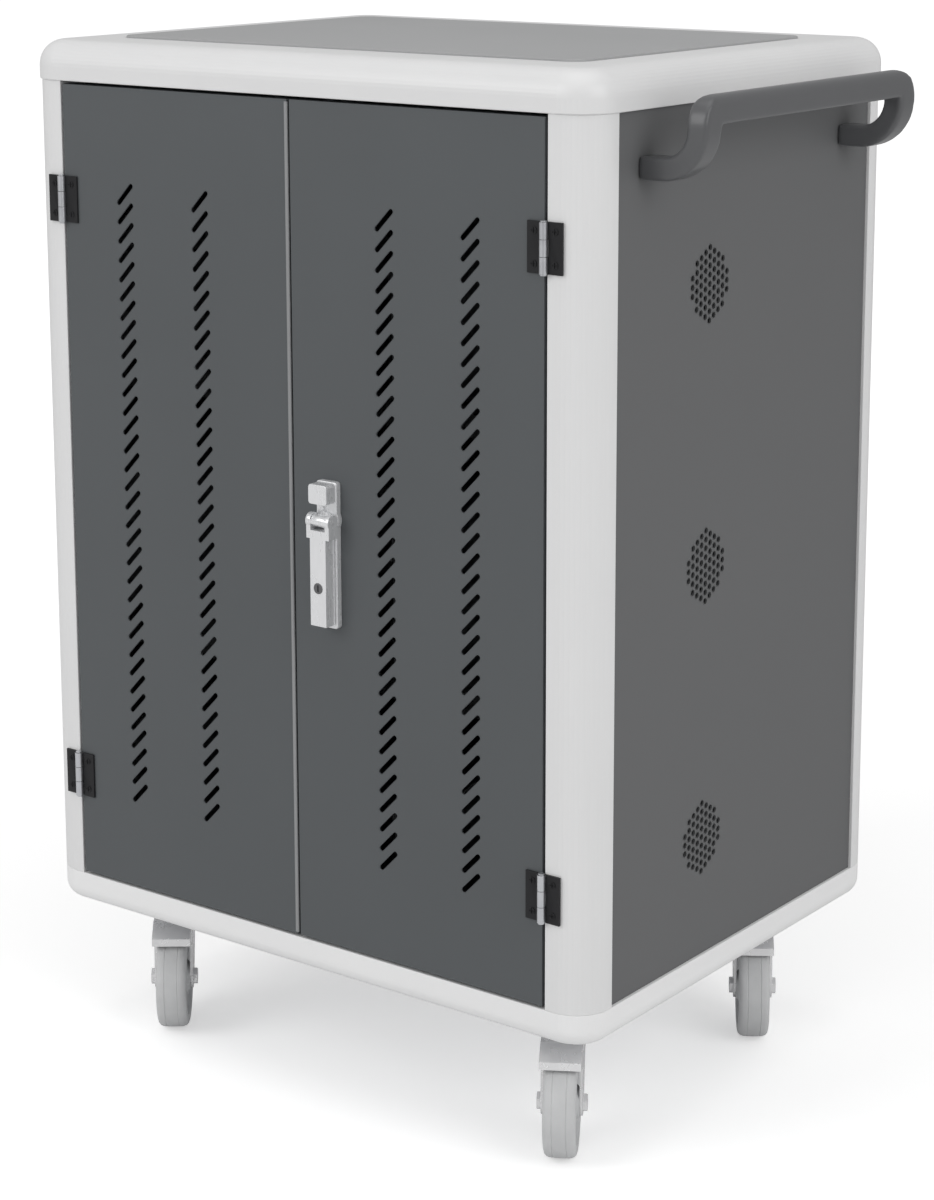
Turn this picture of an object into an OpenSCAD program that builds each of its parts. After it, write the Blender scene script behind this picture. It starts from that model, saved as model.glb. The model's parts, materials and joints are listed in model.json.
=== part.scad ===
// Laptop charging cart: a steel and moulded cabinet on four swivel casters.
// Front is -Y, the pull handle is on +X, and the floor is z = 0.

/* [Cabinet] */
// Width of the opening that the two front doors fill
opening_w = 560; // [520:5:640]
// Height of that opening
opening_h = 783; // [760:1:860]
// Depth of the cabinet, from front face to rear face
body_d = 504; // [494:2:560]
// Width of a corner post, seen from the front
post_w = 44; // [42:1:56]
// Depth of a corner post, seen from the side
post_d = 40; // [39:1:46]
// Radius of the cabinet's upright corners
corner_r = 35; // [34:1:36]
// Wall of a corner post
post_wall = 3; // [2:0.5:4]
// Height of the moulded rail round the base
base_h = 32; // [28:1:44]
// Rounding of the base rail's lower edge
base_ease = 16; // [8:1:20]
// Gap between pieces that sit against each other
seam = 0.3; // [0.2:0.05:0.4]

/* [Top] */
// Height of the moulded top, without its mat
top_h = 37; // [34:1:46]
// How far the top stands out past the posts
top_proud = 2; // [1:0.5:4]
// Rounding of the top's upper edge
top_ease = 24; // [18:1:30]
// Wall of the moulded top
top_wall = 4; // [3:0.5:5]
// Width of the pale margin at the sides of the mat
mat_margin_x = 58; // [50:1:70]
// Width of the pale margin ahead of and behind the mat
mat_margin_y = 66; // [56:1:80]
// Thickness of the mat
mat_t = 5; // [3:0.5:6]
// How far the mat stands above the top
mat_rise = 2; // [1:0.5:2.5]

/* [Sheet metal] */
// Thickness of the side panels, decks and partitions
sheet_t = 2; // [1.5:0.5:2.5]
// How far a side panel lies behind the faces of the posts
panel_recess = 3; // [1:0.5:4]
// Thickness of the door skins
skin_t = 1.5; // [1:0.5:2]
// Depth of a door, with its folded edges
door_t = 20; // [19:0.5:24]
// Gap round each door
door_gap = 3; // [2.5:0.25:4]

/* [Ventilation] */
// Slots in each column
slot_count = 33; // [10:1:36]
// Length of a slot
slot_len = 27.5; // [14:0.5:32]
// Width of a slot
slot_w = 5; // [2.5:0.25:6]
// Slope of a slot from level
slot_slope = 46; // [30:1:60]
// Distance of the inner slot columns from the middle of the front
slot_inner_x = 107; // [100:1:120]
// Distance of the outer slot columns from the middle of the front
slot_outer_x = 200; // [185:1:215]
// Height of the lowest slot above the opening's sill
slot_first = 99; // [80:1:120]
// Depth of the highest slot below the opening's head
slot_last = 101.6; // [80:0.2:120]
// Rings of holes round the middle hole of a side vent
vent_rings = 4; // [2:1:4]
// Distance between the holes of a side vent
vent_pitch = 8.1; // [7:0.1:9]
// Radius of a side vent's holes
vent_hole_r = 3; // [2:0.25:3.25]
// Height of a vent above its deck
vent_rise = 111; // [90:1:140]
// Place of the vents ahead of the cabinet's middle
vent_y = 64; // [0:1:100]

/* [Inside] */
// Height of the top tier, from under its deck to the opening's head
top_tier_h = 274; // [271:1:290]
// Device bays on each deck
bay_count = 8; // [4:1:8]
// Distance from one bay to the next
bay_pitch = 67; // [48:1:67]
// Height of a divider above its deck
divider_h = 150; // [110:1:180]
// Gap between the dividers and the partition behind them
divider_gap = 25; // [20:1:80]
// Thickness of a divider
divider_t = 1.5; // [1:0.25:2.5]
// Distance of the partitions in from the cabinet's rear face
partition_in = 127; // [122:1:137]
// Height of the cable gap below a partition
cable_gap = 40; // [30:1:60]
// Length of a power strip
strip_len = 500; // [460:5:520]
// Height of a power strip
strip_h = 48; // [40:1:56]
// Depth of a power strip
strip_d = 40; // [34:1:44]

/* [Pull handle] */
// Distance of the pull handle's ends in from the front and rear faces
handle_in = 72; // [62:1:102]
// How far the pull handle stands out from the side panel
handle_reach = 67; // [62:1:85]
// Thickness of its strap
handle_t = 20; // [17:1:24]
// Width of each arm
arm_w = 26; // [20:1:34]
// Height of the grip's section
grip_h = 25; // [22:1:30]
// Height from the arms' lower face to the top of the grip
handle_rise = 73; // [70:1:90]
// Depth of the arms' lower face below the opening's head
handle_drop = 59; // [54:1:120]

/* [Hinges] */
// Width of a hinge leaf from the pin's axis
leaf_w = 18; // [12:0.5:20]
// Height of a hinge
hinge_h = 44; // [36:1:60]
// Thickness of a leaf
leaf_t = 2; // [1.5:0.5:2.5]
// Radius of the hinge barrel
barrel_r = 3.5; // [3:0.25:4]
// Radius of the hinge pin
hinge_pin_r = 1.8; // [1.4:0.1:2]
// Depth of the upper hinges below the opening's head, at their middle
upper_hinge_drop = 111; // [83:1:143]
// Height of the lower hinges above the sill, at their middle
lower_hinge_rise = 104; // [80:1:140]

/* [Lock] */
// Distance of the lock's axis from the middle of the front
lock_x = 44; // [40:1:60]
// Height of the lock's turning axis above the opening's middle
lock_rise = 16.5; // [0:0.5:30]
// Width of the lock's plate
lock_w = 23; // [22:1:28]
// Thickness of the lock's plate
lock_plate_t = 6; // [5:0.5:8]
// Length of the swinging lever below its axis
lever_len = 96; // [80:1:98]
// Radius at which the cam's pins drive the rods
cam_throw = 10; // [9.5:0.25:10.5]
// Width of a lock rod
rod_w = 16; // [15:0.5:16]
// Thickness of a lock rod
rod_t = 3; // [2:0.5:3]

/* [Casters] */
// Height from the floor to the base
caster_h = 136; // [134:1:146]
// Room between a wheel and the fork's bridge above it
wheel_room = 5.5; // [4.5:0.5:12]
// Width of a wheel
wheel_w = 30; // [24:1:34]
// Distance of a caster's axis in from the side of the steel base
caster_in_x = 40; // [38:1:60]
// Distance of a caster's axis in from the front or rear of the steel base
caster_in_y = 48; // [38:1:60]
// How far the wheel trails behind the caster's axis
caster_trail = 25; // [22:1:30]
// Angle at which the front left caster stands
front_left_swivel = 38; // [-180:1:180]
// Angle at which the front right caster stands
front_right_swivel = 31; // [-180:1:180]
// Angle at which the rear casters stand
rear_swivel = 34; // [-180:1:180]

/* [Hidden] */
$fn = 48;

// One overrun serves every cut
over = 1;
// Radial clearance of a pin or shaft that turns in its hole
running = 0.06;
// Side clearance of a piece that turns or slides past another
slip = 0.5;

// Main levels and faces
sill_z = caster_h + base_h;
eave_z = sill_z + opening_h;
body_w = opening_w + 2 * post_w;
side_x = body_w / 2;
face_y = body_d / 2;
door_edge_x = opening_w / 2;
panel_x = side_x - panel_recess;
inner_x = panel_x - sheet_t;

// Corner posts: stop behind the door and tongue behind the side panel
stop_w = 12;
tongue_t = 3;
tongue_w = 12;
stop_gap = 1;
deck_x = inner_x - tongue_t - seam;
deck_set_back = 4;
deck_y = face_y - post_d - deck_set_back;

// Slots
slot_pitch = (opening_h - slot_first - slot_last) / (slot_count - 1);

// Decks
tier_h = (opening_h - top_tier_h) / 2;
deck_tops = [for (tier = [0:2]) sill_z + sheet_t + tier * tier_h];
tier_ceilings = [deck_tops[1] - sheet_t, deck_tops[2] - sheet_t, eave_z];
deck_flange = 20;
divider_set_back = 13;
divider_front = deck_y - divider_set_back;
divider_bend = 40;
divider_foot = 12;
partition_y = face_y - partition_in;
divider_len = divider_front + partition_y - divider_gap;
dividers_x = [for (bay = [0:bay_count]) (bay - bay_count / 2) * bay_pitch];
partition_back = partition_y + sheet_t;

// Rubber trim along the lower edge of a partition
trim_wall = 1.7;
trim_h = 8;
trim_in = 40;
trim_len = 2 * (deck_x - trim_in);

// Wiring duct, strips, controller and leads at the rear left
duct_w = 28;
duct_d = 40;
duct_wall = 2;
duct_in = 3.5;
duct_x = -deck_x + duct_in;
duct_end_x = duct_x + duct_w;
duct_foot = 6;
strip_x = duct_end_x + seam;
strip_gap = 4.5;
strip_lows = [for (ceiling = tier_ceilings) ceiling - strip_gap - strip_h];
outlet_count = bay_count;
outlet_pitch = 58;
outlet_first = 47;
outlet_deep = 12;
outlet_slot_w = 2;
outlet_slot_len = 7;
outlet_spread = 12.7;
outlet_earth_r = 1.9;
outlet_earth_step = 9;
lead_r = 2.5;
lead_pitch = 7;
controller_w = 174;
controller_h = 70;
controller_d = 60;
controller_gap = 24;
controller_vents = 9;
controller_vent_w = 3;
controller_vent_h = 30;
controller_vent_pitch = 9;

// Mains inlet and rocker on the left side panel
inlet_w = 26;
inlet_rise = 48;
inlet_y = partition_back + duct_d + inlet_w / 2;
inlet_z = sill_z + inlet_rise;
inlet_h = 70;
inlet_lip = 4;
inlet_lip_t = 2.5;
inlet_socket_z = -13;
inlet_socket_w = 18;
inlet_socket_h = 28;
inlet_socket_deep = 18;
inlet_blade_w = 2;
inlet_blade_h = 4;
inlet_blade_len = 14;
inlet_blade_spread = 5;
inlet_blade_step = 7;
rocker_z = 22;
rocker_w = 12;
rocker_h = 19;
rocker_t = 8;
rocker_tilt = 6;
rocker_sink = 3;
rocker_space = 1.5;

// Hinges
hinge_x = door_edge_x - door_gap / 2;
hinge_y = face_y + barrel_r;
barrel_gap = 0.3;
leaf_relief = 0.5;
pin_head_r = 2.8;
pin_head_t = 1.2;
hinge_levels = [sill_z + lower_hinge_rise, eave_z - upper_hinge_drop];

// Doors
door_outer_x = door_edge_x - door_gap;
door_inner_x = door_gap / 2;
door_low_z = sill_z + door_gap;
door_top_z = eave_z - door_gap;
rod_space = 0.4;
guide_t = 2;
guide_h = 14;
guide_shares = [0.35, 0.75];

// Lock, seen along its own axis
lock_axis_z = sill_z + opening_h / 2 + lock_rise;
lock_above = 35;
lock_below = 100;
lock_boss_r = 13;
lock_head_gap = 1.2;
lock_head_step = 1;
lock_round = 3;
spindle_r = 6;
spindle_disc_r = 7.7;
spindle_disc_t = 3.6;
knuckle_r = 5.5;
knuckle_w = 16;
cheek_r = 7;
cheek_out = 13;
lock_head_low = norm([cheek_out, cheek_r]) + lock_head_gap;
lever_pin_r = 2.5;
lever_w = 18;
lever_t = 12.5;
lever_y = face_y + lock_plate_t + seam + cheek_r;
lever_back = face_y + lock_plate_t + slip;
key_r = 5;
key_deep = 9;
key_above = 35;
key_slot_w = 1.2;
key_slot_h = 6;
key_slot_deep = 3;
cam_r = 16;
cam_t = 2.5;
cam_deep = 8;
cam_y = face_y - cam_deep;
cam_pin_r = 2.5;
cam_pin_len = 5;
cam_pin_turn = 45;
rod_gap = 1;
rod_y = cam_y - cam_t - rod_gap;
rod_side = (cam_throw + cam_throw * cos(cam_pin_turn)) / 2;
rod_slot_half = cam_throw - rod_side + cam_pin_r + slip;
rod_tail = 7;
lock_rod_end = cam_throw * sin(cam_pin_turn) - rod_tail;

// Bolt of the left door
bolt_x = 20;
bolt_r = 4;
bolt_len = 92;
bolt_deep = 9;
bolt_y = face_y - bolt_deep;
bolt_guide_w = 14;
bolt_guide_h = 7;
bolt_guide_deep = 15;
bolt_guide_shares = [0.24, 0.78];
bolt_peg_r = 2.5;
bolt_peg_len = 7;
bolt_peg_drop = 46;

// Lock of the rear door
rear_lock_in = 32;
rear_lock_x = door_outer_x - rear_lock_in;
rear_knob_r = 13;
rear_knob_t = 5;
rear_wing_w = 6;
rear_wing_t = 9;
rear_cam_len = 24;
rear_cam_w = 12;
rear_shaft_r = 6;

// Pull handle
handle_len = body_d - 2 * handle_in;
handle_z = opening_h - handle_drop;
handle_bend_r = 45;
grip_ease = 8;
handle_corner_r = 26;
stud_r = 4;
stud_len = 9;
stud_nut_r = 8;
stud_nut_t = 4;

// Casters
caster_x = door_edge_x - caster_in_x;
caster_y = face_y - post_d - caster_in_y;
plate_w = 70;
plate_t = 3;
plate_bolt_at = 26;
plate_bolt_r = 4;
bolt_head_r = 6.5;
bolt_head_t = 5;
race_r = 23;
race_h = 9;
crown_r = 27;
crown_t = 11;
bridge_t = 7;
crown_top = caster_h - plate_t - race_h - slip;
crown_low = crown_top - crown_t;
bridge_low = crown_low - bridge_t;
wheel_r = (bridge_low - wheel_room) / 2;
kingpin_r = 6;
kingpin_head_r = 10;
kingpin_head_t = 4;
leg_t = 2.7;
leg_gap = 1.3;
leg_in = wheel_w / 2 + leg_gap;
leg_top_back = 22;
leg_waist_back = 3;
leg_waist_front = 34;
hood_ahead = 33;
hood_slope = 20;
hood_drop = 10.5;
hood_lip = 7.5;
hood_front = caster_trail + hood_ahead;
hood_lip_low = crown_low - hood_drop - hood_lip;
leg_waist_drop = 26;
leg_boss_r = 12;
axle_r = 6;
axle_head_r = 8.5;
axle_head_t = 4;
hub_r = 14;
tread_ease = 5;
web_deep = 5;
web_in_r = 18;
rim_t = 12;
web_out_r = wheel_r - rim_t;

// Outline of the whole cart, which puts the origin under its middle
right_reach = panel_x + handle_reach;
left_reach = max(side_x + top_proud, panel_x + inlet_lip_t);
front_reach = max(lever_y + cheek_r, lever_back + lever_t, hinge_y + barrel_r);
rear_reach = max(hinge_y + barrel_r, face_y + rear_knob_t + rear_wing_t);
mid_x = (right_reach - left_reach) / 2;
mid_y = (rear_reach - front_reach) / 2;

// Colours
pale = [0.86, 0.87, 0.88];
slate = [0.37, 0.385, 0.395];
charcoal = [0.15, 0.15, 0.16];
zinc = [0.72, 0.73, 0.75];
wheel_grey = [0.66, 0.67, 0.68];
mat_grey = [0.62, 0.63, 0.64];
coat_grey = [0.45, 0.46, 0.48];

// Puts a piece drawn about the cabinet's own middle into the cart's frame
module in_cart() {
  translate([-mid_x, -mid_y, 0]) children();
}

// A block between two opposite corners
module block(from, to) {
  translate(from) cube(to - from);
}

// A drawing in X and Z, made solid from y to y + depth
module upright(y, depth) {
  translate([0, y + depth, 0]) rotate([90, 0, 0]) linear_extrude(depth) children();
}

// A drawing in Y and Z, made solid from x to x + width
module sideways(x, width) {
  translate([x, 0, 0]) rotate([90, 0, 90]) linear_extrude(width) children();
}

// A round bar along X, Y or Z, starting at a point
module bar_x(from, r, length) {
  translate(from) rotate([0, 90, 0]) cylinder(r = r, h = length);
}

module bar_y(from, r, length) {
  translate(from) rotate([-90, 0, 0]) cylinder(r = r, h = length);
}

module bar_z(from, r, length) {
  translate(from) cylinder(r = r, h = length);
}

// A rectangle between two corners, and one about its middle with round corners
module panel(from, to) {
  translate(from) square(to - from);
}

module round_rect(w, h, r) {
  square([w - 2 * r, h], center = true);
  square([w, h - 2 * r], center = true);
  for (sx = [-1, 1], sy = [-1, 1])
    translate([sx * (w / 2 - r), sy * (h / 2 - r)]) circle(r);
}

// The upright face of an eased edge, from the inside out
module edge_face(run, h, ease) {
  square([run, h - ease]);
  square([run - ease, h]);
  translate([run - ease, h - ease]) intersection() {
    circle(ease);
    square(ease);
  }
}

// A slab with round upright corners and its upper edge eased all round
module eased_slab(w, d, h, r, ease) {
  translate([r - w / 2, r - d / 2, 0]) cube([w - 2 * r, d - 2 * r, h]);
  for (turn = [0:3]) {
    reach = turn % 2 == 0 ? w / 2 : d / 2;
    half = turn % 2 == 0 ? d / 2 : w / 2;
    rotate(90 * turn) translate([reach - r, half - r, 0]) {
      rotate([90, 0, 0]) linear_extrude(2 * (half - r)) edge_face(r, h, ease);
      rotate_extrude(angle = 90) edge_face(r, h, ease);
    }
  }
}

// Puts a piece drawn inwards from an outer corner into one of the four corners
module in_corner(side, end) {
  translate([side * side_x, end * face_y, 0])
    mirror([side > 0 ? 1 : 0, 0, 0]) mirror([0, end > 0 ? 1 : 0, 0]) children();
}

// Moulded rail round the base: closed at its faces, open in the middle for the steel pan
module base_rail() {
  in_cart() color(pale) difference() {
    translate([0, 0, sill_z]) mirror([0, 0, 1])
      eased_slab(body_w, body_d, base_h, corner_r, base_ease);
    block([-door_edge_x, post_d - face_y, caster_h - over],
      [door_edge_x, face_y - post_d, sill_z + over]);
  }
}

// Steel pan that carries the casters, inside the rail
module base_pan() {
  pan_x = door_edge_x - seam;
  pan_y = face_y - post_d - seam;
  in_cart() color(zinc) difference() {
    block([-pan_x, -pan_y, caster_h], [pan_x, pan_y, sill_z]);
    block([sheet_t - pan_x, sheet_t - pan_y, caster_h + sheet_t],
      [pan_x - sheet_t, pan_y - sheet_t, sill_z + over]);
    caster_bolt_places() bar_z([0, 0, caster_h - over], plate_bolt_r, sheet_t + 2 * over);
  }
}

// Hollow corner post with a door stop and a tongue for the side panel
module post_outline(wall) {
  translate([corner_r, wall]) square([post_w - corner_r - wall, post_d - 2 * wall]);
  translate([wall, corner_r]) square([post_w - 2 * wall, post_d - corner_r - wall]);
  translate([corner_r, corner_r]) intersection() {
    circle(corner_r - wall);
    translate([-corner_r, -corner_r]) square(corner_r);
  }
}

module post(side, end) {
  stop_v = door_t + stop_gap;
  tongue_u = side_x - inner_x;
  in_cart() color(pale) in_corner(side, end) translate([0, 0, sill_z])
    linear_extrude(opening_h) {
      difference() {
        post_outline(0);
        post_outline(post_wall);
      }
      translate([post_w - post_wall, stop_v]) square([stop_w + post_wall, tongue_t]);
      translate([tongue_u, post_d - post_wall]) square([tongue_t, tongue_w + post_wall]);
    }
}

module front_left_post() post(-1, -1);
module front_right_post() post(1, -1);
module rear_left_post() post(-1, 1);
module rear_right_post() post(1, 1);

// Steel ceiling pan that ties the tops of the posts, under the moulded top
module top_frame() {
  frame_w = body_w + 2 * top_proud - 2 * top_wall - 2 * seam;
  frame_d = body_d + 2 * top_proud - 2 * top_wall - 2 * seam;
  frame_r = corner_r + top_proud - top_wall - seam;
  flange_h = 6;
  in_cart() color(zinc) translate([0, 0, eave_z]) {
    linear_extrude(sheet_t) round_rect(frame_w, frame_d, frame_r);
    linear_extrude(flange_h) difference() {
      round_rect(frame_w, frame_d, frame_r);
      round_rect(frame_w - 2 * sheet_t, frame_d - 2 * sheet_t, frame_r - sheet_t);
    }
  }
}

// Moulded top: eased all round, hollow below in two steps, with a shallow tray for the mat
mat_sunk = mat_t - mat_rise;
module mat_outline(spare) {
  round_rect(body_w - 2 * mat_margin_x + 2 * spare, body_d - 2 * mat_margin_y + 2 * spare,
    corner_r / 2 + spare);
}

module top_shell() {
  shell_w = body_w + 2 * top_proud;
  shell_d = body_d + 2 * top_proud;
  shell_r = corner_r + top_proud;
  in_cart() color(pale) translate([0, 0, eave_z]) difference() {
    eased_slab(shell_w, shell_d, top_h, shell_r, top_ease);
    translate([0, 0, -over]) linear_extrude(top_h - top_ease + over)
      round_rect(shell_w - 2 * top_wall, shell_d - 2 * top_wall, shell_r - top_wall);
    translate([0, 0, -over]) linear_extrude(top_h - top_wall - mat_sunk + over)
      round_rect(shell_w - 2 * top_ease, shell_d - 2 * top_ease, shell_r - top_ease);
    translate([0, 0, top_h - mat_sunk]) linear_extrude(mat_t) mat_outline(seam);
  }
}

module top_mat() {
  in_cart() color(mat_grey) translate([0, 0, eave_z + top_h - mat_sunk])
    linear_extrude(mat_t) mat_outline(0);
}

// Pointed oval cluster of holes, ring on ring, without the four corners at its sides
module vent_cluster() {
  for (i = [-vent_rings:vent_rings])
    for (j = [max(-vent_rings, -i - vent_rings):min(vent_rings, vent_rings - i)])
      if (abs(j) < vent_rings || abs(2 * i + j) < vent_rings)
        translate([vent_pitch * j * sqrt(3) / 2, vent_pitch * (i + j / 2)]) circle(vent_hole_r);
}

module side_sheet() {
  half = face_y - post_d - seam;
  difference() {
    panel([-half, sill_z + seam], [half, eave_z - seam]);
    for (top = deck_tops) translate([-vent_y, top + vent_rise]) vent_cluster();
  }
}

module left_side_panel() {
  in_cart() color(slate) difference() {
    sideways(-panel_x, sheet_t) side_sheet();
    sideways(-panel_x - over, sheet_t + 2 * over)
      panel([inlet_y - inlet_w / 2 - seam, inlet_z - inlet_h / 2 - seam],
        [inlet_y + inlet_w / 2 + seam, inlet_z + inlet_h / 2 + seam]);
  }
}

module right_side_panel() {
  in_cart() color(slate) difference() {
    sideways(inner_x, sheet_t) side_sheet();
    for (end = [-1, 1]) bar_x(stud_at(end) - [stud_len, 0, 0], stud_r + seam, 2 * stud_len);
  }
}

// Decks, with a notch for the wiring duct
module deck_sheet() {
  difference() {
    square([2 * deck_x, 2 * deck_y], center = true);
    panel([duct_x - slip, partition_y - slip],
      [duct_end_x + slip, partition_back + duct_d + slip]);
  }
}

module shelf(tier, flange) {
  in_cart() color(slate) translate([0, 0, deck_tops[tier] - sheet_t]) {
    linear_extrude(sheet_t) deck_sheet();
    if (flange > 0)
      for (end = [-1, 1])
        block([-deck_x, end * deck_y - (end > 0 ? sheet_t : 0), -flange],
          [deck_x, end * deck_y + (end < 0 ? sheet_t : 0), 0]);
  }
}

module lower_shelf() shelf(0, 0);
module middle_shelf() shelf(1, deck_flange);
module upper_shelf() shelf(2, deck_flange);

// A divider: a plate with a foot folded along the deck and its upper corners rounded
module divider_outline() {
  back = divider_len - divider_front;
  panel([-divider_front, 0], [back, divider_h - divider_bend]);
  panel([divider_bend - divider_front, 0], [back - divider_bend, divider_h]);
  for (y = [divider_bend - divider_front, back - divider_bend])
    translate([y, divider_h - divider_bend]) circle(divider_bend);
}

module dividers(tier) {
  in_cart() color(coat_grey)
    for (x = dividers_x) translate([x - divider_t / 2, 0, deck_tops[tier]]) {
      sideways(0, divider_t) divider_outline();
      block([0, divider_bend - divider_front, 0],
        [divider_foot, divider_len - divider_front - divider_bend, divider_t]);
    }
}

module lower_dividers() dividers(0);
module middle_dividers() dividers(1);
module upper_dividers() dividers(2);

// Partitions between the device bays and the charger bays, hung over a cable gap
module partition(tier) {
  in_cart() color(slate) block([-deck_x, partition_y, deck_tops[tier] + cable_gap],
    [deck_x, partition_back, tier_ceilings[tier]]);
}

module lower_partition() partition(0);
module middle_partition() partition(1);
module upper_partition() partition(2);

// Rubber trims clipped over the lower edges of the partitions
module cable_edge_trims() {
  in_cart() color(charcoal)
    for (top = deck_tops) translate([-trim_len / 2, 0, top + cable_gap]) difference() {
      block([0, partition_y - seam - trim_wall, -seam - trim_wall],
        [trim_len, partition_back + seam + trim_wall, trim_h]);
      block([-over, partition_y - seam, -seam], [trim_len + over, partition_back + seam,
        trim_h + over]);
    }
}

// Power strips high on the rear faces of the partitions, their outlets facing down
module outlet() {
  for (side = [-1, 1]) translate([side * outlet_spread / 2, 0, 0])
    cube([outlet_slot_w, outlet_slot_len, 2 * outlet_deep], center = true);
  translate([0, outlet_earth_step, -outlet_deep]) cylinder(r = outlet_earth_r, h = 2 * outlet_deep);
}

module power_strip(tier) {
  low = strip_lows[tier];
  in_cart() color(charcoal) difference() {
    block([strip_x, partition_back, low],
      [strip_x + strip_len, partition_back + strip_d, low + strip_h]);
    for (i = [0:outlet_count - 1])
      translate([strip_x + outlet_first + i * outlet_pitch,
        partition_back + strip_d / 2 - outlet_earth_step / 2, low]) outlet();
  }
}

module lower_power_strip() power_strip(0);
module middle_power_strip() power_strip(1);
module upper_power_strip() power_strip(2);

// Duct that takes the supply up to the strips, and the leads inside it
duct_low = deck_tops[0] + duct_foot;
duct_high = strip_lows[2] + strip_h;

module wiring_duct() {
  in_cart() color(pale) difference() {
    block([duct_x, partition_back, duct_low],
      [duct_end_x, partition_back + duct_d, duct_high]);
    block([duct_x + duct_wall, partition_back + duct_wall, duct_low - over],
      [duct_end_x - duct_wall, partition_back + duct_d - duct_wall, duct_high + over]);
  }
}

module supply_leads() {
  in_cart() color(charcoal)
    for (tier = [0:2])
      bar_z([duct_x + duct_w / 2 + (tier - 1) * lead_pitch,
        partition_back + duct_wall + seam + lead_r, duct_low + duct_wall],
        lead_r, strip_lows[tier] + strip_h / 2 - duct_low - duct_wall);
}

// Charge controller on the lower deck, beside the duct, with louvres in its lid
module charge_controller() {
  low = deck_tops[0];
  front = partition_back + controller_gap;
  in_cart() color(coat_grey) difference() {
    block([strip_x, front, low],
      [strip_x + controller_w, front + controller_d, low + controller_h]);
    for (i = [0:controller_vents - 1])
      translate([strip_x + controller_w / 2 + (i - (controller_vents - 1) / 2)
        * controller_vent_pitch, front + controller_d / 2, low + controller_h])
        cube([controller_vent_w, controller_vent_h, 2 * sheet_t], center = true);
  }
}

// Mains inlet in the left side panel: flange, housing, three blades and a rocker's well
module mains_inlet() {
  depth = panel_x + strip_x - seam;
  in_cart() color(charcoal) translate([-panel_x, inlet_y, inlet_z]) difference() {
    union() {
      block([-inlet_lip_t, -inlet_w / 2 - inlet_lip, -inlet_h / 2 - inlet_lip],
        [0, inlet_w / 2 + inlet_lip, inlet_h / 2 + inlet_lip]);
      block([-seam, -inlet_w / 2, -inlet_h / 2], [depth, inlet_w / 2, inlet_h / 2]);
    }
    difference() {
      block([-inlet_lip_t - over, -inlet_socket_w / 2, inlet_socket_z - inlet_socket_h / 2],
        [inlet_socket_deep, inlet_socket_w / 2, inlet_socket_z + inlet_socket_h / 2]);
      for (i = [-1:1])
        block([inlet_socket_deep - inlet_blade_len,
            (i == 0 ? -inlet_blade_spread : 0) + inlet_blade_spread / 2 - inlet_blade_w / 2,
            inlet_socket_z + i * inlet_blade_step - inlet_blade_h / 2],
          [inlet_socket_deep + over,
            (i == 0 ? -inlet_blade_spread : 0) + inlet_blade_spread / 2 + inlet_blade_w / 2,
            inlet_socket_z + i * inlet_blade_step + inlet_blade_h / 2]);
    }
    block([-inlet_lip_t - over, -rocker_w / 2 - slip, rocker_z - rocker_h / 2 - rocker_space],
      [rocker_t + rocker_space, rocker_w / 2 + slip, rocker_z + rocker_h / 2 + rocker_space]);
  }
}

module power_rocker() {
  in_cart() color([0.75, 0.12, 0.1])
    translate([rocker_sink - panel_x, inlet_y, inlet_z + rocker_z])
      rotate([0, rocker_tilt, 0])
        translate([rocker_t / 2 - rocker_sink - inlet_lip_t, 0, 0])
          cube([rocker_t, rocker_w, rocker_h], center = true);
}

// Pull handle: two arms that curve up into one grip, with a stud and nut through the panel
function stud_at(end) = [panel_x, end * (handle_len - arm_w) / 2, sill_z + handle_z + handle_t / 2];

module arm_outline() {
  run = handle_reach - handle_bend_r;
  square([run, handle_t]);
  translate([run, handle_bend_r]) intersection() {
    difference() {
      circle(handle_bend_r);
      circle(handle_bend_r - handle_t);
    }
    translate([0, -handle_bend_r]) square(handle_bend_r);
  }
  translate([handle_reach - handle_t, handle_bend_r - over])
    square([handle_t, handle_rise - grip_ease - handle_bend_r + over]);
}

// Section of the grip, with its upper edges well rounded
module grip_outline() {
  translate([handle_reach - handle_t, handle_rise - grip_h]) {
    square([handle_t, grip_h - grip_ease]);
    translate([grip_ease, 0]) square([handle_t - 2 * grip_ease, grip_h]);
    for (x = [grip_ease, handle_t - grip_ease])
      translate([x, grip_h - grip_ease]) circle(grip_ease);
  }
}

// Side view of the handle, which rounds its two upper corners
module handle_side() {
  half = handle_len / 2;
  panel([-half, -over], [half, handle_rise - handle_corner_r]);
  panel([handle_corner_r - half, -over], [half - handle_corner_r, handle_rise]);
  for (end = [-1, 1])
    translate([end * (half - handle_corner_r), handle_rise - handle_corner_r])
      circle(handle_corner_r);
}

module pull_handle() {
  in_cart() color(slate) {
    translate([panel_x, 0, sill_z + handle_z]) intersection() {
      union() {
        for (end = [-1, 1])
          translate([0, end * (handle_len - arm_w) / 2 + arm_w / 2, 0])
            rotate([90, 0, 0]) linear_extrude(arm_w) arm_outline();
        translate([0, handle_len / 2, 0])
          rotate([90, 0, 0]) linear_extrude(handle_len) grip_outline();
      }
      sideways(-over, handle_reach + 2 * over) handle_side();
    }
    for (end = [-1, 1]) {
      bar_x(stud_at(end) - [stud_len, 0, 0], stud_r, stud_len + over);
      bar_x([inner_x - seam - stud_nut_t, stud_at(end)[1], stud_at(end)[2]], stud_nut_r,
        stud_nut_t);
    }
  }
}

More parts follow.
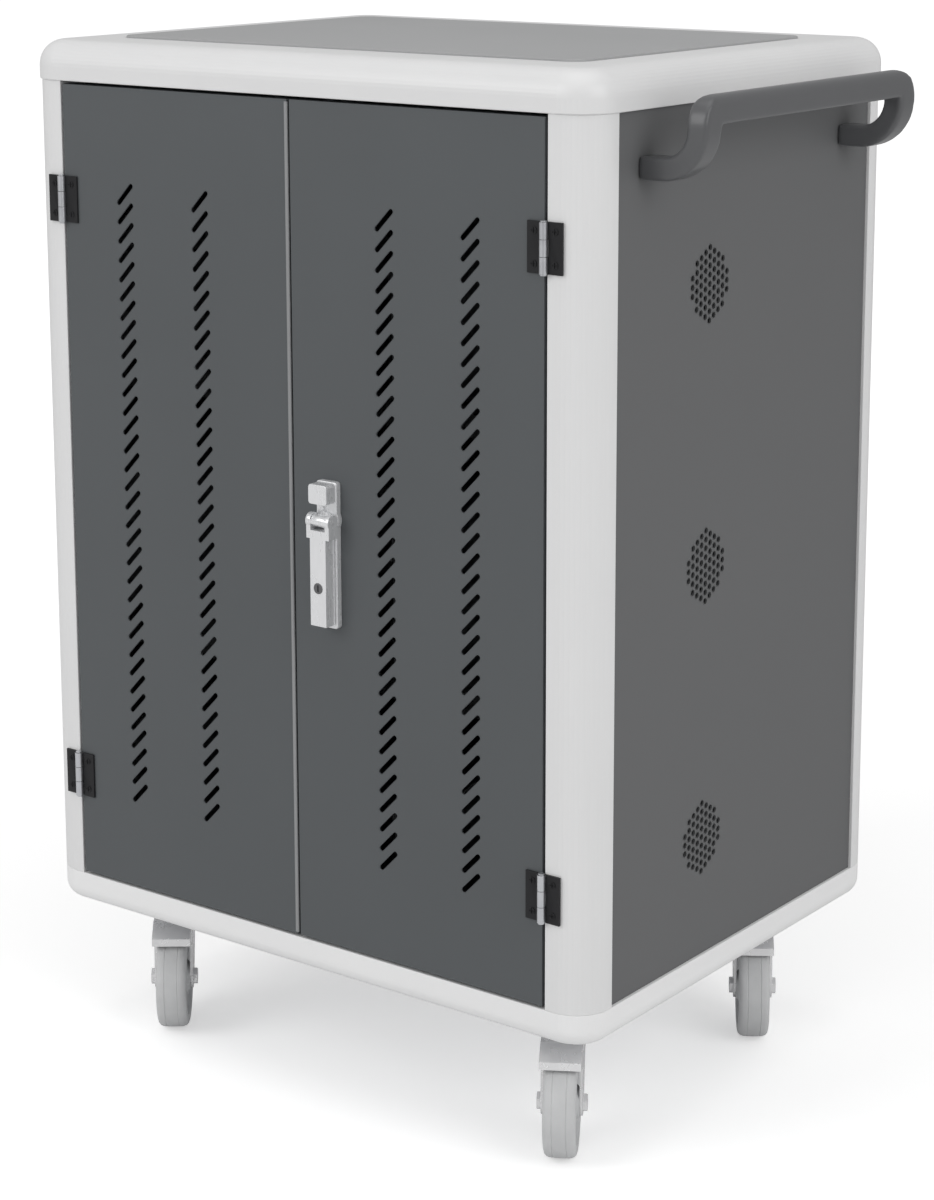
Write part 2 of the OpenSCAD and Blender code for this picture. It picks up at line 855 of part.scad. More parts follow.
// Butt hinges: the frame's leaf has the two outer knuckles, the door's leaf the middle one
module hinge_half(direction, middle) {
  third = hinge_h / 3;
  zones = middle ? [0] : [-third, third];
  relief = barrel_r + leaf_relief;
  difference() {
    union() {
      mirror([direction < 0 ? 1 : 0, 0, 0]) {
        block([relief, barrel_r - leaf_t, -hinge_h / 2], [leaf_w, barrel_r, hinge_h / 2]);
        for (z = zones)
          block([0, barrel_r - leaf_t, z - third / 2 + barrel_gap / 2],
            [relief + seam, barrel_r, z + third / 2 - barrel_gap / 2]);
      }
      for (z = zones)
        bar_z([0, 0, z - third / 2 + barrel_gap / 2], barrel_r, third - barrel_gap);
    }
    bar_z([0, 0, -hinge_h], hinge_pin_r + running, 2 * hinge_h);
  }
}

// Puts a hinge, drawn at a front face, on one side and end of the cabinet
module at_hinges(side, end) {
  for (z = hinge_levels)
    translate([side * hinge_x, end * hinge_y, z]) mirror([0, end > 0 ? 1 : 0, 0]) children();
}

module frame_hinge_leaves() {
  in_cart() color(charcoal) {
    at_hinges(-1, -1) hinge_half(-1, false);
    at_hinges(1, -1) hinge_half(1, false);
    at_hinges(-1, 1) hinge_half(-1, false);
  }
}

module hinge_pin() {
  reach = hinge_h / 2 - barrel_gap / 2;
  bar_z([0, 0, -reach], hinge_pin_r, 2 * reach);
  for (end = [0, 1]) mirror([0, 0, end]) bar_z([0, 0, reach], pin_head_r, pin_head_t);
}

module hinge_pins() {
  in_cart() color(zinc) {
    at_hinges(-1, -1) hinge_pin();
    at_hinges(1, -1) hinge_pin();
    at_hinges(-1, 1) hinge_pin();
  }
}

module left_door_leaves() {
  in_cart() color(charcoal) at_hinges(-1, -1) hinge_half(1, true);
}

module right_door_leaves() {
  in_cart() color(charcoal) at_hinges(1, -1) hinge_half(-1, true);
}

module rear_door_leaves() {
  in_cart() color(charcoal) at_hinges(-1, 1) hinge_half(1, true);
}

// Ventilation slots, all leaning the same way
module slot_column(x) {
  for (i = [0:slot_count - 1])
    translate([x, sill_z + slot_first + i * slot_pitch]) rotate(slot_slope) {
      square([slot_len - slot_w, slot_w], center = true);
      for (end = [-1, 1]) translate([end * (slot_len - slot_w) / 2, 0]) circle(slot_w / 2);
    }
}

// A door pan between two edges: a slotted skin with its four edges folded back
module door_pan(x0, x1, columns) {
  upright(-face_y, skin_t) difference() {
    panel([x0, door_low_z], [x1, door_top_z]);
    for (x = columns) slot_column(x);
  }
  upright(-face_y, door_t) difference() {
    panel([x0, door_low_z], [x1, door_top_z]);
    panel([x0 + skin_t, door_low_z + skin_t], [x1 - skin_t, door_top_z - skin_t]);
  }
}

module left_door() {
  in_cart() color(slate) difference() {
    union() {
      door_pan(-door_outer_x, -door_inner_x, [-slot_outer_x, -slot_inner_x]);
      for (share = bolt_guide_shares)
        translate([-bolt_x, -face_y, door_top_z - share * bolt_len])
          block([-bolt_guide_w / 2, skin_t - seam, -bolt_guide_h],
            [bolt_guide_w / 2, bolt_guide_deep, 0]);
    }
    bar_z([-bolt_x, -bolt_y, door_top_z - bolt_len - over], bolt_r + running,
      bolt_len + 2 * over);
  }
}

// Sliding bolt at the top of the left door, with a peg to draw it by
module left_door_bolt() {
  top = door_top_z - slip;
  in_cart() color(zinc) {
    bar_z([-bolt_x, -bolt_y, top - bolt_len], bolt_r, bolt_len);
    bar_y([-bolt_x, -bolt_y, top - bolt_peg_drop], bolt_peg_r, bolt_peg_len);
  }
}

// The rods leave the door through close slots in its folded edges
rods = [[-rod_side, 1], [rod_side, -1]];

module rod_space_cut(offset) {
  block([lock_x + offset - rod_w / 2 - rod_space, -rod_y - rod_space,
      door_low_z - over],
    [lock_x + offset + rod_w / 2 + rod_space, rod_t - rod_y + rod_space,
      door_top_z + over]);
}

module rod_guide(offset, up, share) {
  span = up > 0 ? door_top_z - lock_axis_z : lock_axis_z - door_low_z;
  z = lock_axis_z + up * span * share;
  half = rod_w / 2 + rod_space + guide_t;
  block([lock_x + offset - half, skin_t - face_y - seam, z - guide_h / 2],
    [lock_x + offset + half, rod_t - rod_y + rod_space + guide_t, z + guide_h / 2]);
}

module right_door() {
  in_cart() color(slate) difference() {
    union() {
      door_pan(door_inner_x, door_outer_x, [slot_inner_x, slot_outer_x]);
      for (rod = rods, share = guide_shares) rod_guide(rod[0], rod[1], share);
    }
    for (rod = rods) rod_space_cut(rod[0]);
    bar_y([lock_x, -face_y - over, lock_axis_z], spindle_r + slip, skin_t + 2 * over);
  }
}

// Lock plate on the face of the right door, with a raised head clear of the lever's swing
module lock_plate() {
  height = lock_above + lock_below;
  head_h = lock_above - lock_head_step - lock_head_low;
  in_cart() color(zinc) difference() {
    union() {
      upright(-face_y - lock_plate_t, lock_plate_t) {
        translate([lock_x, lock_axis_z + (lock_above - lock_below) / 2])
          round_rect(lock_w, height, lock_round);
        translate([lock_x, lock_axis_z]) circle(lock_boss_r);
      }
      upright(-lever_back - lever_t, lever_back + lever_t - face_y - seam)
        translate([lock_x, lock_axis_z + lock_head_low + head_h / 2])
          round_rect(lock_w - 2 * lock_head_step, head_h, lock_round);
    }
    bar_y([lock_x, -face_y - lock_plate_t - over, lock_axis_z], spindle_r + running,
      lock_plate_t + 2 * over);
  }
}

// Spindle: the lever's knuckle in front, the cam with its two pins behind the skin
module lock_spindle() {
  plate_y = -face_y - lock_plate_t;
  in_cart() color(zinc) translate([lock_x, 0, lock_axis_z]) {
    bar_y([0, plate_y - spindle_disc_t, 0], spindle_disc_r, spindle_disc_t - seam);
    bar_y([0, plate_y - seam, 0], spindle_r, -cam_y - plate_y + seam);
    bar_y([0, -cam_y, 0], cam_r, cam_t);
    for (turn = [0, 180]) rotate([0, cam_pin_turn + turn, 0])
      bar_y([-cam_throw, -cam_y, 0], cam_pin_r, cam_t + cam_pin_len);
    bar_x([-knuckle_w / 2, -lever_y, 0], knuckle_r, knuckle_w);
    bar_x([-cheek_out, -lever_y, 0], lever_pin_r, 2 * cheek_out);
  }
}

// Swinging lever: it lifts on the cross pin, then turns with the spindle
module swing_handle() {
  well = knuckle_w / 2 + seam;
  shoulder = spindle_disc_r + 2 * slip + cheek_r;
  in_cart() color(zinc) translate([lock_x, 0, lock_axis_z]) difference() {
    union() {
      block([-lever_w / 2, -lever_back - lever_t, -lever_len], [lever_w / 2, -lever_back, 0]);
      block([-cheek_out, -lever_back - lever_t, -shoulder], [cheek_out, -lever_back, 0]);
      bar_x([-cheek_out, -lever_y, 0], cheek_r, 2 * cheek_out);
    }
    block([-well, -lever_back - lever_t - over, -spindle_disc_r - slip],
      [well, -lever_back + over, cheek_r + over]);
    bar_x([-cheek_out - over, -lever_y, 0], lever_pin_r + running, 2 * cheek_out + 2 * over);
    bar_y([0, -lever_back - lever_t - over, key_above - lever_len], key_r + running,
      key_deep + over);
  }
}

module key_plug() {
  face = -lever_back - lever_t;
  in_cart() color([0.55, 0.56, 0.58]) translate([lock_x, 0, lock_axis_z + key_above - lever_len])
    difference() {
      bar_y([0, face - slip, 0], key_r, key_deep);
      block([-key_slot_w / 2, face - over, -key_slot_h / 2],
        [key_slot_w / 2, face - slip + key_slot_deep, key_slot_h / 2]);
    }
}

// Flat lock rods with a short cross slot round the cam's pin
module lock_rod(offset, up) {
  tip = up > 0 ? door_top_z - slip : door_low_z + slip;
  low = min(lock_axis_z + up * lock_rod_end, tip);
  high = max(lock_axis_z + up * lock_rod_end, tip);
  slot_z = lock_axis_z + up * cam_throw * sin(cam_pin_turn);
  in_cart() color(zinc) upright(-rod_y, rod_t) difference() {
    panel([lock_x + offset - rod_w / 2, low], [lock_x + offset + rod_w / 2, high]);
    translate([lock_x + offset, slot_z])
      square([2 * rod_slot_half, 2 * (cam_pin_r + slip)], center = true);
  }
}

module upper_lock_rod() lock_rod(-rod_side, 1);
module lower_lock_rod() lock_rod(rod_side, -1);

// Rear door: one wide pan with the same slots
module rear_door() {
  in_cart() color(slate) mirror([0, 1, 0]) difference() {
    door_pan(-door_outer_x, door_outer_x, [-slot_inner_x, slot_inner_x]);
    bar_y([rear_lock_x, -face_y - over, lock_axis_z], rear_shaft_r + running,
      skin_t + 2 * over);
  }
}

// Quarter-turn knob of the rear door, with its cam behind the skin
module rear_door_lock() {
  in_cart() color(zinc) translate([rear_lock_x, 0, lock_axis_z]) {
    bar_y([0, face_y + seam, 0], rear_knob_r, rear_knob_t - seam);
    block([-rear_wing_w / 2, face_y + rear_knob_t - seam, -rear_knob_r + rear_wing_w / 2],
      [rear_wing_w / 2, face_y + rear_knob_t + rear_wing_t, rear_knob_r - rear_wing_w / 2]);
    bar_y([0, cam_y - cam_t, 0], rear_shaft_r, face_y + rear_knob_t - cam_y);
    block([-rear_cam_w / 2, cam_y - cam_t, -rear_cam_w / 2],
      [rear_cam_len, cam_y, rear_cam_w / 2]);
  }
}

// Casters
module caster_places() {
  for (sx = [-1, 1], sy = [-1, 1]) translate([sx * caster_x, sy * caster_y, 0]) children();
}

module caster_bolt_places() {
  caster_places()
    for (sx = [-1, 1], sy = [-1, 1])
      translate([sx * plate_bolt_at, sy * plate_bolt_at, 0]) children();
}

// Top plates with the upper bearing race and the kingpin
module caster_plates() {
  plate_z = caster_h - plate_t;
  in_cart() color(zinc) difference() {
    caster_places() {
      translate([0, 0, plate_z]) linear_extrude(plate_t) round_rect(plate_w, plate_w, plate_t);
      bar_z([0, 0, plate_z - race_h], race_r, race_h);
      bar_z([0, 0, bridge_low - slip], kingpin_r, plate_z - bridge_low + slip);
      bar_z([0, 0, bridge_low - slip - kingpin_head_t], kingpin_head_r, kingpin_head_t);
    }
    caster_bolt_places() bar_z([0, 0, plate_z - over], plate_bolt_r, plate_t + 2 * over);
  }
}

module caster_bolts() {
  shank = plate_t + sheet_t;
  in_cart() color(zinc) caster_bolt_places() {
    translate([0, 0, caster_h - plate_t]) {
      bar_z([0, 0, -over], plate_bolt_r - seam, shank + 2 * over);
      translate([0, 0, -bolt_head_t]) cylinder(r = bolt_head_r, h = bolt_head_t, $fn = 6);
      translate([0, 0, shank]) cylinder(r = bolt_head_r, h = bolt_head_t, $fn = 6);
    }
  }
}

// Puts a caster piece, drawn about its swivel axis with the wheel towards -Y, in its place
module at_caster(side, end) {
  in_cart() translate([side * caster_x, end * caster_y, 0])
    rotate(end > 0 ? rear_swivel : side < 0 ? front_left_swivel : front_right_swivel) children();
}

// Outer line of the fork's hood over the front of the wheel, from its lip back to the crown
hood_line = [[-hood_front, hood_lip_low], [-hood_front, crown_low - hood_drop],
  [hood_slope - hood_front, crown_low]];

module leg_outline() {
  waist_z = crown_low - leg_waist_drop;
  polygon(concat([[leg_top_back, crown_low], [leg_top_back, bridge_low],
    [leg_waist_back, waist_z], [leg_boss_r - caster_trail, wheel_r],
    [-leg_boss_r - caster_trail, wheel_r], [-leg_waist_front, waist_z]], hood_line));
  translate([-caster_trail, wheel_r]) circle(leg_boss_r);
}

module hood_outline() {
  polygon(concat(hood_line, [[hood_slope - hood_front, bridge_low],
    [leg_t - hood_front, crown_low - hood_drop - leg_t / 2], [leg_t - hood_front, hood_lip_low]]));
}

// Swivelling fork: a round crown over a bridge and hood, with a pressed leg on each side
module fork(side, end) {
  at_caster(side, end) color(zinc) difference() {
    union() {
      bar_z([0, 0, crown_low], crown_r, crown_t);
      block([-leg_in - seam, hood_slope - hood_front - seam, bridge_low],
        [leg_in + seam, leg_top_back, crown_low]);
      sideways(-leg_in - seam, 2 * (leg_in + seam)) hood_outline();
      for (x = [-leg_in - leg_t, leg_in]) sideways(x, leg_t) leg_outline();
    }
    bar_z([0, 0, bridge_low - over], kingpin_r + running, crown_t + bridge_t + 2 * over);
    bar_x([-leg_in - leg_t - over, -caster_trail, wheel_r], axle_r + running,
      2 * (leg_in + leg_t + over));
  }
}

module front_left_fork() fork(-1, -1);
module front_right_fork() fork(1, -1);
module rear_left_fork() fork(-1, 1);
module rear_right_fork() fork(1, 1);

// Half of a wheel's section, from the bore out, with an eased tread and a sunk web
module wheel_section() {
  half = wheel_w / 2;
  bore = axle_r + running;
  difference() {
    union() {
      translate([bore, -half]) square([wheel_r - tread_ease - bore, wheel_w]);
      translate([bore, tread_ease - half]) square([wheel_r - bore, wheel_w - 2 * tread_ease]);
      for (end = [-1, 1])
        translate([wheel_r - tread_ease, end * (half - tread_ease)]) circle(tread_ease);
      translate([bore, -leg_in + seam]) square([hub_r - bore, 2 * (leg_in - seam)]);
    }
    for (end = [-1, 1])
      translate([web_in_r, end > 0 ? half - web_deep : -half - over])
        square([web_out_r - web_in_r, web_deep + over]);
  }
}

module wheel(side, end) {
  at_caster(side, end) color(wheel_grey) translate([0, -caster_trail, wheel_r])
    rotate([0, 90, 0]) rotate_extrude() wheel_section();
}

module front_left_wheel() wheel(-1, -1);
module front_right_wheel() wheel(1, -1);
module rear_left_wheel() wheel(-1, 1);
module rear_right_wheel() wheel(1, 1);

// Axle bolt with its head and nut
module axle(side, end) {
  reach = leg_in + leg_t;
  at_caster(side, end) color(zinc) translate([0, -caster_trail, wheel_r]) {
    bar_x([-reach - over, 0, 0], axle_r, 2 * (reach + over));
    for (end_x = [-reach - axle_head_t, reach])
      translate([end_x, 0, 0]) rotate([0, 90, 0])
        cylinder(r = axle_head_r, h = axle_head_t, $fn = 6);
  }
}

module front_left_axle() axle(-1, -1);
module front_right_axle() axle(1, -1);
module rear_left_axle() axle(-1, 1);
module rear_right_axle() axle(1, 1);

base_pan();
base_rail();
front_left_post();
front_right_post();
rear_left_post();
rear_right_post();
top_frame();
top_shell();
top_mat();
left_side_panel();
right_side_panel();
lower_shelf();
middle_shelf();
upper_shelf();
lower_dividers();
middle_dividers();
upper_dividers();
lower_partition();
middle_partition();
upper_partition();
cable_edge_trims();
lower_power_strip();
middle_power_strip();
upper_power_strip();
charge_controller();
mains_inlet();
power_rocker();
wiring_duct();
supply_leads();
pull_handle();
frame_hinge_leaves();
hinge_pins();
left_door();
left_door_leaves();
left_door_bolt();
right_door();
right_door_leaves();
lock_plate();
lock_spindle();
swing_handle();
key_plug();
upper_lock_rod();
lower_lock_rod();
rear_door();
rear_door_leaves();
rear_door_lock();
caster_plates();
caster_bolts();
front_left_fork();
front_right_fork();
rear_left_fork();
rear_right_fork();
front_left_wheel();
front_right_wheel();
rear_left_wheel();
rear_right_wheel();
front_left_axle();
front_right_axle();
rear_left_axle();
rear_right_axle();
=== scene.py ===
import json
import math

import bmesh
import bpy
from mathutils import Matrix, Vector


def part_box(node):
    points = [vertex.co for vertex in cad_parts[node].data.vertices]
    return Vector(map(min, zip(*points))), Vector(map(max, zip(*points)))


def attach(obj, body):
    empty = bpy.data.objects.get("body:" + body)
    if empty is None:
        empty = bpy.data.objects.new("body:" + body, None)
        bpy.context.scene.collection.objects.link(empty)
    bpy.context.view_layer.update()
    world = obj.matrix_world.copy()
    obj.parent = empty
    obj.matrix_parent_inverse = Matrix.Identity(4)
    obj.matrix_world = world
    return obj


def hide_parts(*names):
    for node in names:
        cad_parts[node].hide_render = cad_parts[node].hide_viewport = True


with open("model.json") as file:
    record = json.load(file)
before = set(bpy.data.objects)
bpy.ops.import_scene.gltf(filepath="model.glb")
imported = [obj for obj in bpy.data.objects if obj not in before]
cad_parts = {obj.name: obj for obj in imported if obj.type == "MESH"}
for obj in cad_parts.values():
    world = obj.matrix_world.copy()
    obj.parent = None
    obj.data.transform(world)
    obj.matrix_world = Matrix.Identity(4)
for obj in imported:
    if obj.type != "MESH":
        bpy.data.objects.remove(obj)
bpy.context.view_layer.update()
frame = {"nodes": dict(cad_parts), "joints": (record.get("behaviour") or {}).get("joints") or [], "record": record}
scene = bpy.context.scene

# Camera. The cart is seen from its front right, a little above the top, with a long lens whose
# shift keeps the posts nearly parallel in the picture.
camera_lens = 83.856
camera_sensor = 36.0
camera_place = (1.5729, -2.1196, 1.1679)
camera_turn = 36.953
camera_dip = 11.258
camera_roll = -0.116
camera_shift = -200 / 1200
eye = bpy.data.cameras.new("eye")
eye.lens = camera_lens
eye.sensor_width = camera_sensor
eye.shift_y = camera_shift
camera = bpy.data.objects.new("camera", eye)
camera.matrix_world = (Matrix.Translation(camera_place)
                       @ Matrix.Rotation(math.radians(camera_turn), 4, "Z")
                       @ Matrix.Rotation(math.radians(90 - camera_dip), 4, "X")
                       @ Matrix.Rotation(math.radians(camera_roll), 4, "Z"))
scene.collection.objects.link(camera)
scene.camera = camera
scene.view_settings.view_transform = "Standard"

# Studio. A white sweep carries the cart's soft shadow, and three large soft lamps and a pale
# surround light it from the front left, the right and above. The sweep's camera-only glow is
# weaker near the origin, where the cart stands, than far out: painted shade round the cart.
floor_half = 40.0
floor_white = (0.86, 0.86, 0.86, 1)
# Glow near the cart, kept low as painted shade that deepens the cart's shadow on the floor.
near_glow_painted_shade = 0.43
far_lift = 0.66
lift_from = 1.1
lift_to = 3.2
floor_mesh = bpy.data.meshes.new("studio_floor")
floor_mesh.from_pydata([(-floor_half, -floor_half, 0), (floor_half, -floor_half, 0),
                        (floor_half, floor_half, 0), (-floor_half, floor_half, 0)], [],
                       [(0, 1, 2, 3)])
floor = bpy.data.objects.new("studio_floor", floor_mesh)
scene.collection.objects.link(floor)
floor_paint = bpy.data.materials.new("studio_white")
floor_paint.use_nodes = True
paint_nodes = floor_paint.node_tree.nodes
paint_links = floor_paint.node_tree.links
paint_nodes.clear()
matt_white = paint_nodes.new("ShaderNodeBsdfDiffuse")
matt_white.inputs["Color"].default_value = floor_white
glow = paint_nodes.new("ShaderNodeEmission")
ray = paint_nodes.new("ShaderNodeLightPath")
spot = paint_nodes.new("ShaderNodeNewGeometry")
reach = paint_nodes.new("ShaderNodeVectorMath")
reach.operation = "LENGTH"
# Painted shade: the floor's glow fades down with nearness to the cart.
painted_shade_fade = paint_nodes.new("ShaderNodeMapRange")
painted_shade_fade.inputs["From Min"].default_value = lift_from
painted_shade_fade.inputs["From Max"].default_value = lift_to
painted_shade_fade.inputs["To Min"].default_value = near_glow_painted_shade
painted_shade_fade.inputs["To Max"].default_value = far_lift
lift = paint_nodes.new("ShaderNodeMath")
lift.operation = "MULTIPLY"
both = paint_nodes.new("ShaderNodeAddShader")
paint_out = paint_nodes.new("ShaderNodeOutputMaterial")
paint_links.new(spot.outputs["Position"], reach.inputs[0])
paint_links.new(reach.outputs["Value"], painted_shade_fade.inputs["Value"])
paint_links.new(painted_shade_fade.outputs[0], lift.inputs[1])
paint_links.new(ray.outputs["Is Camera Ray"], lift.inputs[0])
paint_links.new(lift.outputs[0], glow.inputs["Strength"])
paint_links.new(matt_white.outputs[0], both.inputs[0])
paint_links.new(glow.outputs[0], both.inputs[1])
paint_links.new(both.outputs[0], paint_out.inputs["Surface"])
floor_mesh.materials.append(floor_paint)

surround_level = 0.48
world = bpy.data.worlds.new("studio")
world.use_nodes = True
scene.world = world
sky_nodes = world.node_tree.nodes
sky_links = world.node_tree.links
sky_nodes.clear()
seen = sky_nodes.new("ShaderNodeBackground")
seen.inputs["Strength"].default_value = 1.0
seen.inputs["Color"].default_value = (1, 1, 1, 1)
unseen = sky_nodes.new("ShaderNodeBackground")
unseen.inputs["Strength"].default_value = surround_level
unseen.inputs["Color"].default_value = (1, 1, 1, 1)
sky_ray = sky_nodes.new("ShaderNodeLightPath")
either = sky_nodes.new("ShaderNodeMixShader")
sky_out = sky_nodes.new("ShaderNodeOutputWorld")
sky_links.new(sky_ray.outputs["Is Camera Ray"], either.inputs[0])
sky_links.new(unseen.outputs[0], either.inputs[1])
sky_links.new(seen.outputs[0], either.inputs[2])
sky_links.new(either.outputs[0], sky_out.inputs["Surface"])

for lamp_name, lamp_place, lamp_size, lamp_power in (
        ("front_lamp", (-1.7, -3.6, 2.6), 2.6, 56),
        ("side_lamp", (3.6, -0.6, 2.2), 2.4, 41),
        ("top_lamp", (0.2, -0.4, 3.6), 2.6, 20)):
    lamp_data = bpy.data.lights.new(lamp_name, "AREA")
    lamp_data.size = lamp_size
    lamp_data.energy = lamp_power
    lamp = bpy.data.objects.new(lamp_name, lamp_data)
    lamp.location = lamp_place
    lamp.rotation_euler = (Vector((0, 0, 0.5)) - lamp.location).to_track_quat("-Z", "Y").to_euler()
    scene.collection.objects.link(lamp)

# Base pan. A folded tray of zinc-plated steel sheet, closed by the moulded rail round it, to which
# the casters are bolted. The bright plate has a faint cloudy spangle.


def surface_material(name, light, dark, patch, rough, rough_spread, grain, depth, metal=0.0,
                     edge=None, stretch=(1, 1, 1), coat=0.0, shine=0.5):
    """A surface with patches between two shades, a fine grain and, if asked, rubbed edges.

    The patch and grain values are noise scales, and the depth is the grain's height in metres.
    """
    rubbed_from, rubbed_to, rubbed_share = 0.53, 0.62, 0.6
    patch_detail, grain_detail, grain_strength = 4, 2, 0.5
    light_slot, dark_slot = 7, 6
    material = bpy.data.materials.new(name)
    material.use_nodes = True
    nodes, links = material.node_tree.nodes, material.node_tree.links
    shader = nodes["Principled BSDF"]
    shader.inputs["Metallic"].default_value = metal
    shader.inputs["Coat Weight"].default_value = coat
    shader.inputs["Specular IOR Level"].default_value = shine
    where = nodes.new("ShaderNodeTexCoord")
    spread = nodes.new("ShaderNodeMapping")
    spread.inputs["Scale"].default_value = stretch
    links.new(where.outputs["Object"], spread.inputs["Vector"])
    patches = nodes.new("ShaderNodeTexNoise")
    patches.inputs["Scale"].default_value = patch
    patches.inputs["Detail"].default_value = patch_detail
    links.new(spread.outputs[0], patches.inputs["Vector"])
    shades = nodes.new("ShaderNodeMix")
    shades.data_type = "RGBA"
    shades.inputs[dark_slot].default_value = (*dark, 1)
    shades.inputs[light_slot].default_value = (*light, 1)
    links.new(patches.outputs["Fac"], shades.inputs[0])
    tone = shades.outputs[2]
    if edge:
        shape = nodes.new("ShaderNodeNewGeometry")
        rubbed = nodes.new("ShaderNodeMapRange")
        rubbed.inputs["From Min"].default_value = rubbed_from
        rubbed.inputs["From Max"].default_value = rubbed_to
        rubbed.inputs["To Max"].default_value = rubbed_share
        links.new(shape.outputs["Pointiness"], rubbed.inputs["Value"])
        worn = nodes.new("ShaderNodeMix")
        worn.data_type = "RGBA"
        worn.inputs[light_slot].default_value = (*edge, 1)
        links.new(rubbed.outputs[0], worn.inputs[0])
        links.new(tone, worn.inputs[dark_slot])
        tone = worn.outputs[2]
    links.new(tone, shader.inputs["Base Color"])
    gloss = nodes.new("ShaderNodeMapRange")
    gloss.inputs["To Min"].default_value = rough - rough_spread
    gloss.inputs["To Max"].default_value = rough + rough_spread
    links.new(patches.outputs["Fac"], gloss.inputs["Value"])
    links.new(gloss.outputs[0], shader.inputs["Roughness"])
    fine = nodes.new("ShaderNodeTexNoise")
    fine.inputs["Scale"].default_value = grain
    fine.inputs["Detail"].default_value = grain_detail
    links.new(spread.outputs[0], fine.inputs["Vector"])
    relief = nodes.new("ShaderNodeBump")
    relief.inputs["Strength"].default_value = grain_strength
    relief.inputs["Distance"].default_value = depth
    links.new(fine.outputs["Fac"], relief.inputs["Height"])
    links.new(relief.outputs[0], shader.inputs["Normal"])
    return material


def dress(material, *names):
    """Gives CAD pieces whose shape is right their real finish."""
    for name in names:
        piece = frame["nodes"][name]
        if not piece.material_slots:
            piece.data.materials.append(material)
        for slot in piece.material_slots:
            slot.material = material


zinc_plate = surface_material("zinc_plate", light=(0.68, 0.69, 0.71), dark=(0.52, 0.53, 0.56),
                              patch=60, rough=0.34, rough_spread=0.1, grain=700, depth=0.00004,
                              metal=0.9)
dress(zinc_plate, "base_pan")

# Base rail. A hollow moulding of pale grey plastic round the foot of the cabinet, with a rolled
# lower edge and a fine satin grain that hides scuffs from feet and door frames.


def body_of(name):
    return next(b for b, members in frame["record"]["behaviour"]["bodies"].items()
                if name in members)


def piece_from_mesh(name, mesh, material, body, sharp=35):
    """Makes one finished piece of a mesh that is already in its place."""
    mesh.materials.clear()
    mesh.materials.append(material)
    for face in mesh.polygons:
        face.material_index = 0
    if sharp:
        mesh.shade_smooth()
        mesh.set_sharp_from_angle(angle=math.radians(sharp))
    piece = bpy.data.objects.new(name, mesh)
    scene.collection.objects.link(piece)
    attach(piece, body)
    return piece


def welded_shape(node):
    """A CAD piece's shape, with the corners that its faces share made one."""
    shape = bmesh.new()
    shape.from_mesh(frame["nodes"][node].data)
    bmesh.ops.remove_doubles(shape, verts=shape.verts, dist=weld_reach)
    return shape


def mesh_of(name, shape):
    mesh = bpy.data.meshes.new(name)
    shape.to_mesh(mesh)
    shape.free()
    return mesh


def holder_of(name, mesh):
    """A passing object that modifiers work on."""
    holder = bpy.data.objects.new(name + "_holder", mesh)
    scene.collection.objects.link(holder)
    return holder


def worked_mesh(holder):
    """The mesh that a holder's modifiers leave. The holder itself goes."""
    ready = holder.evaluated_get(bpy.context.evaluated_depsgraph_get())
    mesh = bpy.data.meshes.new_from_object(ready)
    holder.modifiers.clear()
    bpy.data.objects.remove(holder)
    return mesh


weld_reach = 0.00001
flat_turn = 0.4
sharp_turn = 40
parting_reach = 0.000001
broad_face = 0.00004
widest_lean = 0.5


def eased_piece(node, material, ease, rounds=2, halved=False):
    """Stands in for a CAD piece: the same piece with its sharp edges eased, as they really are.

    A halved piece has its faces parted down its middle, so that no face runs round a hole.
    """
    shape = welded_shape(node)
    bmesh.ops.dissolve_limit(shape, angle_limit=math.radians(flat_turn), verts=shape.verts,
                             use_dissolve_boundaries=False, edges=shape.edges,
                             delimit={"NORMAL"})
    if halved:
        reach = [vert.co.x for vert in shape.verts]
        middle = (min(reach) + max(reach)) / 2
        bmesh.ops.bisect_plane(shape, geom=shape.verts[:] + shape.edges[:] + shape.faces[:],
                               dist=parting_reach, plane_co=(middle, 0, 0),
                               plane_no=(1, 0, 0))
    mesh = mesh_of(node + "_eased", shape)
    if ease:
        mesh.shade_smooth()
        holder = holder_of(node, mesh)
        edges = holder.modifiers.new("eased_edges", "BEVEL")
        edges.width = ease
        edges.segments = rounds
        edges.limit_method = "ANGLE"
        edges.angle_limit = math.radians(sharp_turn)
        edges.use_clamp_overlap = True
        edges.miter_outer = "MITER_ARC"
        edges.harden_normals = True
        mesh = worked_mesh(holder)
        turned = [Vector(corner.vector) for corner in mesh.corner_normals]
        for face in mesh.polygons:
            lean = min(turned[corner].dot(face.normal) for corner in face.loop_indices)
            if face.area > broad_face or lean < widest_lean:
                for corner in face.loop_indices:
                    turned[corner] = face.normal.copy()
        mesh.normals_split_custom_set(turned)
    else:
        mesh.shade_flat()
    piece = piece_from_mesh(node + "_finished", mesh, material, body_of(node),
                            sharp=0)
    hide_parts(node)


pale_moulding = surface_material("pale_moulding", light=(0.79, 0.79, 0.79),
                                 dark=(0.74, 0.74, 0.745), patch=9, rough=0.34, rough_spread=0.05,
                                 grain=1500, depth=0.00005)
# The rail is the same pale moulding painted lighter: painted light for the floor's bounce on its rolled lower
# edge.
rail_moulding_painted_light = surface_material("rail_moulding_painted_light", light=(0.90, 0.90, 0.90),
                                 dark=(0.86, 0.86, 0.865), patch=9, rough=0.42, rough_spread=0.06,
                                 grain=1500, depth=0.00005)
eased_piece("base_rail", rail_moulding_painted_light, ease=0.0008)

